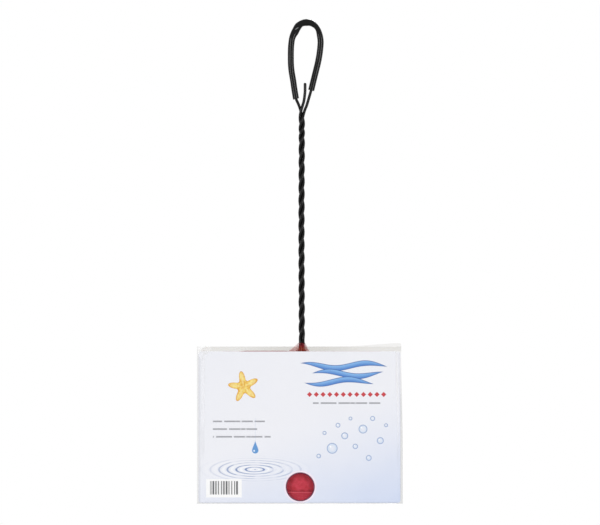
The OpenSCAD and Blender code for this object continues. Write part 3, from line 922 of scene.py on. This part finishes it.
for name, (nodes, line, panel_half_w) in NET_PANELS.items():
    carrier = [(AXIS_X, y, z) for y, z in line]
    mesh_sizes = {
        "Half width": panel_half_w, "Pitch": MESH_PITCH, "Thread radius": NET_THREAD_R,
        "Step": THREAD_STEP, "Wander": NET_WANDER,
    }
    mesh_sizes = {size: value * MM for size, value in mesh_sizes.items()}
    panel = net_tree.grow(name, carrier, line_edges(len(carrier)), **mesh_sizes)
    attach(panel, "net")
    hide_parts(*nodes)
    panel_length = sum(math.dist(a, b) for a, b in zip(line, line[1:]))
    net_pieces[name] = (panel, (2 * panel_half_w * MM, panel_length * MM))


# Three overlocked seams close the pocket: a narrow folded edge with one thread wound round it,
# up both sides and across the end.
SEAM_W = 1.6
SEAM_D = 1.3
SEAM_CORE_T = 0.5
SEAM_Y = PLY_FIRST + 1.5 * PLY_STEP
SEAM_GAP = 0.1
WIND_PITCH = 1.5
WIND_STEPS = 8
WIND_R = 0.14
seam_low_z = back_start_z + MOUTH_SLOPE
seam_tree = sweep_tree("overlock thread", sewing.material, 4)


def wound_seam(name, node, start, along, across, length):
    """A flat core with a thread wound round it, from start along one direction."""
    turns = round(length / WIND_PITCH)
    thread = []
    for k in range(turns * WIND_STEPS + 1):
        angle = 2 * math.pi * k / WIND_STEPS
        at = length * k / (turns * WIND_STEPS)
        side = (SEAM_W / 2 - WIND_R) * math.cos(angle)
        depth = (SEAM_D / 2 - WIND_R) * math.sin(angle)
        thread.append(start + at * along + side * across + Vector((0, depth, 0)))
    wound = seam_tree.grow(name, thread, line_edges(len(thread)), Radius=WIND_R * MM)
    core_half_w = SEAM_W / 2 - 2 * WIND_R
    core = [
        start + at * along + side * core_half_w * across + Vector((0, depth * SEAM_CORE_T / 2, 0))
        for at in (0, length) for side, depth in ((-1, -1), (1, -1), (1, 1), (-1, 1))
    ]
    core_faces = [(0, 1, 2, 3), (7, 6, 5, 4), (0, 4, 5, 1), (1, 5, 6, 2), (2, 6, 7, 3), (3, 7, 4, 0)]
    edge = add_piece(name + "_edge", core, core_faces, material=cloth.material)
    face_outwards(edge, sharp_degrees=30)
    for piece in (wound, edge):
        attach(piece, "net")
    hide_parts(node)
    return [wound, edge]


UP = Vector((0, 0, 1))
RIGHT = Vector((1, 0, 0))
side_reach = net_half_w + SEAM_GAP + SEAM_W / 2
seam_pieces = []
for name, node, side_x in (
    ("seam_left", "pocket_seam_left", AXIS_X - side_reach),
    ("seam_right", "pocket_seam_right", AXIS_X + side_reach),
):
    seam_start = Vector((side_x, SEAM_Y, seam_low_z))
    seam_pieces += wound_seam(name, node, seam_start, UP, RIGHT, pocket_end_z - seam_low_z)
seam_start = Vector((AXIS_X - net_half_w, SEAM_Y, pocket_end_z + SEAM_GAP + SEAM_W / 2))
seam_pieces += wound_seam("seam_end", "pocket_end_seam", seam_start, RIGHT, UP, 2 * net_half_w)
for name, (panel, flat_size) in net_pieces.items():
    seam_pieces if name == "net_back_mesh" else ()


# The card is coated board, printed on its front with a plain design of waves, bubbles, a sea star
# and ruled lines. Its round window is cut right through, with a dark ring drawn round its edge
# inside a pale ring.
# The design's places and sizes are measured from the card's middle.
card_low, card_high = (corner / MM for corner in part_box("insert_card"))
card_middle = (card_low + card_high) / 2
WINDOW = (0.8, -62.0)
RIM_R = 15.1
HALO_R = 15.9
HALO_HALF_W = 0.9

printed = Finish("printed_card", roughness=0.42, coat_weight=0.2, coat_roughness=0.25)
u = printed.along(0) - card_middle.x
v = printed.along(2) - card_middle.z


def blot(shape, share=1.0, soft=0.25):
    """A printed shape's share of ink, with an edge that is soft by a fraction of a millimetre."""
    return shape.rise(-soft, soft) * share


def from_point(x, y):
    return ((u - x) ** 2 + (v - y) ** 2) ** 0.5


def within(value, low, high):
    return (value - low).least(high - value)


ground = printed.mix((u * 0.35 - v).rise(-16, 165), colour(237, 238, 244), colour(192, 207, 238))
ground = printed.mix(printed.noise(38.0, 1.0) * 0.25, ground, colour(246, 246, 249))
ink = ground

STRIPES = [(-2, 94, 64), (10, 90, 55.5), (2, 80, 47)]
for start, stop, height in STRIPES:
    middle = height + 2.6 * (u / 10.5 + height).sine()
    thick = 3.6 * within(u, start, stop).rise(0, 30) ** 0.5 - 1.2
    stripe = thick - abs(v - middle)
    ink = printed.mix(blot(stripe + 0.6), ink, colour(46, 92, 160))
    tone = printed.mix((v - middle).rise(-2.5, 2.5), colour(74, 128, 202), colour(132, 182, 232))
    ink = printed.mix(blot(stripe), ink, tone)

DIAMOND = 2.7
DIAMOND_PITCH = 7.0
diamonds = DIAMOND - abs(u % DIAMOND_PITCH - DIAMOND_PITCH / 2) - abs(v - 34)
ink = printed.mix(blot(diamonds.least(within(u, 7, 91))), ink, colour(196, 56, 64))
RULES = [(14, 84, 25), (-90, -36, 6), (-90, -44, -2), (-90, -30, -10)]
for start, stop, height in RULES:
    dashes = 0.75 - ((u + height * 3).sine() * 0.5 + (u * 0.37 + height).sine() * 0.6)
    rule = within(u, start, stop).least(0.8 - abs(v - height)).least(dashes)
    ink = printed.mix(blot(rule, 0.7), ink, colour(98, 100, 108))

STAR = (-58, 42)
STAR_R = 15.5
STAR_ARMS = 5
STAR_TURN = 0.9 + math.pi / 2
star_angle = printed.node("ShaderNodeMath", {"operation": "ARCTAN2"}, [u - STAR[0], v - STAR[1]])
star_arm = (star_angle * STAR_ARMS + STAR_TURN).sine() * 0.5 + 0.5
star_edge = STAR_R * (0.4 + 0.6 * star_arm ** 1.6) - from_point(*STAR)
ink = printed.mix(blot(star_edge + 0.8), ink, colour(216, 150, 48))
star_grain = printed.noise(2.2, 2.0).rise(0.4, 0.6)
star_tone = printed.mix(star_grain, colour(228, 174, 62), colour(242, 214, 112))
ink = printed.mix(blot(star_edge), ink, star_tone)
star_ridge = 1.2 - abs(star_arm - 1.0) * 6
ink = printed.mix(blot(star_ridge.least(star_edge - 1.5), 0.5, 0.8), ink, colour(250, 236, 168))

RIPPLE = (-46, -44)
RIPPLE_FLATNESS = 0.25
RIPPLE_PITCH = 9.5
ripple_wobble = 5.0 * printed.noise(30.0, 2.0)
ripple_r = (((u - RIPPLE[0]) ** 2 + ((v - RIPPLE[1]) / RIPPLE_FLATNESS) ** 2) ** 0.5) + ripple_wobble
ripple = (ripple_r * (2 * math.pi / RIPPLE_PITCH)).sine()
ripple_share = (1 - ripple_r.rise(16, 66)) * printed.noise(13.0, 1.0).rise(0.3, 0.55)
ink = printed.mix(ripple.rise(0.55, 0.95) * ripple_share * 0.85, ink, colour(66, 110, 172))
ink = printed.mix((0 - ripple).rise(0.5, 0.9) * ripple_share * 0.7, ink, colour(252, 253, 255))
DROP = (-46, -24)
DROP_R = 3.4
DROP_POINT = 3.2 * DROP_R
drop_v = v - DROP[1]
drop_sides = DROP_R * (1 - drop_v.rise(-1.0, DROP_POINT)) - abs(u - DROP[0])
drop_round = DROP_R - from_point(*DROP) + 30 * drop_v.rise(-0.5, 0.5)
ink = printed.mix(blot(drop_sides.least(drop_round)), ink, colour(96, 152, 210))
ink = printed.mix(blot(0.9 - from_point(DROP[0] - 1.1, DROP[1] - 0.6), 0.9), ink, colour(236, 245, 253))

BUBBLES = [(34, -22, 5.2), (47, -9, 3.2), (40, 2, 2.1), (58, -20, 2.4), (66, -2, 4.2), (76, 9, 2.2),
           (84, -14, 3.2), (53, 9, 1.6), (72, -32, 2.6), (26, -6, 1.7), (90, 2, 1.6), (20, -30, 2.0)]
for x, y, r in BUBBLES:
    away = from_point(x, y)
    glint = r * 0.2 - from_point(x - r * 0.35, y + r * 0.35)
    ink = printed.mix(blot(r - away, 0.5) * (away / r) ** 2, ink, colour(150, 192, 230))
    ink = printed.mix(blot(0.3 - abs(away - r), 0.8), ink, colour(72, 118, 180))
    ink = printed.mix(blot(glint, 0.9), ink, colour(254, 254, 255))

PANEL_LEFT, PANEL_RIGHT = (-97, -60)
PANEL_LOW, PANEL_HIGH = (-73, -54)
panel = within(u, PANEL_LEFT, PANEL_RIGHT).least(within(v, PANEL_LOW, PANEL_HIGH))
ink = printed.mix(blot(panel), ink, colour(250, 250, 250))
bar_wave = (u * 2.3).sine() + (u * 4.1 + 1).sine() * 0.8
bars = within(u, PANEL_LEFT + 3, PANEL_RIGHT - 3).least(within(v, PANEL_LOW + 3, PANEL_HIGH - 2))
ink = printed.mix(blot(bars.least(bar_wave), 0.9, 0.15), ink, colour(50, 52, 60))

from_window = from_point(*WINDOW)
halo = blot(HALO_HALF_W - abs(from_window - HALO_R), 0.7, 0.5)
ink = printed.mix(halo, ink, colour(250, 232, 243))
ink = printed.mix(blot(RIM_R - from_window), ink, colour(98, 22, 60))
normal = printed.node("ShaderNodeNewGeometry", output="Normal")
normal_y = printed.node("ShaderNodeSeparateXYZ", values=[normal], output=1)
front = (0 - normal_y).rise(0.6, 0.8)
board = printed.mix(printed.noise(0.9, 3.0), colour(226, 226, 222), colour(240, 240, 236))
printed.paint("Base Color", printed.mix(front, board, ink))
printed.paint("Roughness", 0.75 - 0.38 * front)
printed.bump(printed.noise(0.7, 2.0), 0.02, 0.4)
card_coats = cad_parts["insert_card"].data.materials
card_coats.clear()
card_coats.append(printed.material)


# The sleeve is a bag of thin clear film, folded at both sides and the bottom and open at the top.
# It has painted glare as of crinkles at its upper left corner, and its back stands higher at the right.
FILM_T = 0.12
FILM_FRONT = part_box("sleeve_front_film")[0].y / MM + FILM_T
FILM_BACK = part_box("sleeve_back_film")[1].y / MM - FILM_T
SLEEVE_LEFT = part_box("sleeve_fold_left")[0].x / MM
SLEEVE_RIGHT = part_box("sleeve_fold_right")[1].x / MM
SLEEVE_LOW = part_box("sleeve_bottom_fold")[0].z / MM
SLEEVE_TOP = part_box("sleeve_front_film")[1].z / MM
CORNER_RISE = 3.5
CORNER_FROM = 0.7
SIDE_TAPER = -1.6
TAPER_FROM = 0.9
TAPER_LOW = 0.3
FRONT_ROUND = 2.2
BACK_ROUND = 3.6
FILM_STEP = 4.0
FILM_ROWS = 44
FILM_CORNER_STEPS = 5
BOTTOM_STEPS = 5
FILM_WAVE = 0.3
FILM_WAVES = ((13, 21, 0), (31, -17, 1))
FRONT_WAVE_SHARE = 0.25
BACK_WAVE_SHARE = 0.4
WAVE_EASE = 3
WELD_REACH = 0.02

film = Finish("clear_film", roughness=0.14, specular_ior_level=0.12)
film_x = film.along(0)
film_z = film.along(2)

# The film is a faint dark veil, painted shade that darkens what is behind it a little where it
# stands free above the card, a little more near the neck, and more along its folds.
free_strip = film_z.rise(card_high.z - 0.2, card_high.z + 0.5)
near_neck = 1 - abs(film_x - AXIS_X).rise(10, 75)
from_left = film_x - SLEEVE_LEFT
from_right = SLEEVE_RIGHT - film_x + SIDE_TAPER * film_z.rise(SLEEVE_TOP - 80, SLEEVE_TOP)
left_strip = 1 - from_left.rise(2.0, 4.8)
upwards = film_z.rise(SLEEVE_TOP - 75, SLEEVE_TOP - 10)
right_strip = (1 - from_right.rise(2.2, 3.4)) * (1 - 0.6 * upwards)
low_strip = 1 - (film_z - SLEEVE_LOW).rise(1.4, 2.4)

# Painted white glare runs beside both folds over the card, and lies in crinkle-shaped blots at
# the upper left.
left_band = within(from_left, 3.4, 9).rise(0, 2)
right_band = within(from_right, 3.4, 6.6).rise(0, 1)
upper_share = film_z.rise(SLEEVE_LOW + 20, SLEEVE_TOP - 20) * (1 - free_strip)
crinkle_glare = film.noise(6.0, 1.0).rise(0.44, 0.6) * film_z.rise(SLEEVE_TOP - 12, SLEEVE_TOP - 6)
glare = left_band * (0.08 + 0.14 * film.noise(11.0, 1.0).rise(0.3, 0.7)) * upper_share
glare = glare.most(right_band * 0.22 * upper_share)
glare = glare.most(crinkle_glare * (1 - from_left.rise(7, 17)) * 0.45)
# The film's dark tone and its veil are painted shade; its white glare is a painted highlight.
film_tone = film.mix(free_strip, (0.12, 0.13, 0.15, 1), (0.14, 0.1, 0.02, 1))
film.paint("Base Color", film.mix(glare.rise(0.0, 0.08), film_tone, (0.98, 0.98, 0.98, 1)))
veil = 0.006 + (0.062 + 0.034 * near_neck) * free_strip
veil = veil.most(0.053 * left_strip).most(0.08 * right_strip).most(0.085 * low_strip)
film.paint("Alpha", veil.most(glare))
film.bump(film.noise(16.0, 1.0), 0.5, 0.4)
film.material.surface_render_method = "BLENDED"


def film_section():
    """Points (x, y) once round the bag, seen from above, with its corners rounded."""
    points = []
    corners = [
        (SLEEVE_LEFT, FILM_FRONT, FRONT_ROUND, 180), (SLEEVE_RIGHT, FILM_FRONT, FRONT_ROUND, 270),
        (SLEEVE_RIGHT, FILM_BACK, BACK_ROUND, 0), (SLEEVE_LEFT, FILM_BACK, BACK_ROUND, 90),
    ]
    for x, y, r, start in corners:
        cx = x + r if x == SLEEVE_LEFT else x - r
        cy = y + r if y == FILM_FRONT else y - r
        for k in range(FILM_CORNER_STEPS + 1):
            angle = math.radians(start + 90 * k / FILM_CORNER_STEPS)
            points.append((cx + r * math.cos(angle), cy + r * math.sin(angle)))
    full = []
    for (ax, ay), (bx, by) in zip(points, points[1:] + points[:1]):
        pieces = max(1, round(math.dist((ax, ay), (bx, by)) / FILM_STEP))
        full += [(ax + (bx - ax) * k / pieces, ay + (by - ay) * k / pieces) for k in range(pieces)]
    return full


section = film_section()
film_points = []
for row in range(FILM_ROWS + 1):
    share = row / FILM_ROWS
    for x, y in section:
        behind = smooth((y - FILM_FRONT) / (FILM_BACK - FILM_FRONT))
        across = (x - SLEEVE_LEFT) / (SLEEVE_RIGHT - SLEEVE_LEFT)
        top = SLEEVE_TOP + CORNER_RISE * behind * smooth((across - CORNER_FROM) / (1 - CORNER_FROM))
        z = SLEEVE_LOW + FRONT_ROUND + (top - SLEEVE_LOW - FRONT_ROUND) * share
        waves = sum(math.sin(x / run + z / rise + shift) for run, rise, shift in FILM_WAVES)
        wave_share = -FRONT_WAVE_SHARE if y < 0 else BACK_WAVE_SHARE
        swell = wave_share * FILM_WAVE * waves * smooth(abs(y) / WAVE_EASE)
        taper = smooth((across - TAPER_FROM) / (1 - TAPER_FROM))
        taper *= SIDE_TAPER * smooth((share - TAPER_LOW) / (1 - TAPER_LOW))
        film_points.append((x + taper, y + swell, z))
around = len(section)
film_faces = []
for row in range(FILM_ROWS):
    for k in range(around):
        a, b = row * around + k, row * around + (k + 1) % around
        film_faces.append((a, b, b + around, a + around))
first_row = film_points[:around]
middle_y = (FILM_FRONT + FILM_BACK) / 2
for step_down in range(1, BOTTOM_STEPS + 1):
    angle = math.pi / 2 * step_down / BOTTOM_STEPS
    drawn_in = math.cos(angle) if step_down < BOTTOM_STEPS else 0.0
    for x, y, z in first_row:
        drawn_y = middle_y + (y - middle_y) * drawn_in
        film_points.append((x, drawn_y, z - FRONT_ROUND * math.sin(angle)))
for step_down in range(BOTTOM_STEPS):
    upper = 0 if step_down == 0 else (FILM_ROWS + step_down) * around
    lower = (FILM_ROWS + step_down + 1) * around
    for k in range(around):
        film_faces.append((lower + k, lower + (k + 1) % around, upper + (k + 1) % around, upper + k))
sleeve = add_piece("sleeve_film", film_points, film_faces, material=film.material)
weld = bmesh.new()
weld.from_mesh(sleeve.data)
bmesh.ops.remove_doubles(weld, verts=weld.verts, dist=WELD_REACH * MM)
weld.to_mesh(sleeve.data)
weld.free()
thicken(sleeve, FILM_T)
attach(sleeve, "sleeve")
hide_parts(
    "sleeve_front_film", "sleeve_back_film", "sleeve_fold_left", "sleeve_fold_right",
    "sleeve_bottom_fold",
)

bpy.context.scene.view_settings.view_transform = "Standard"
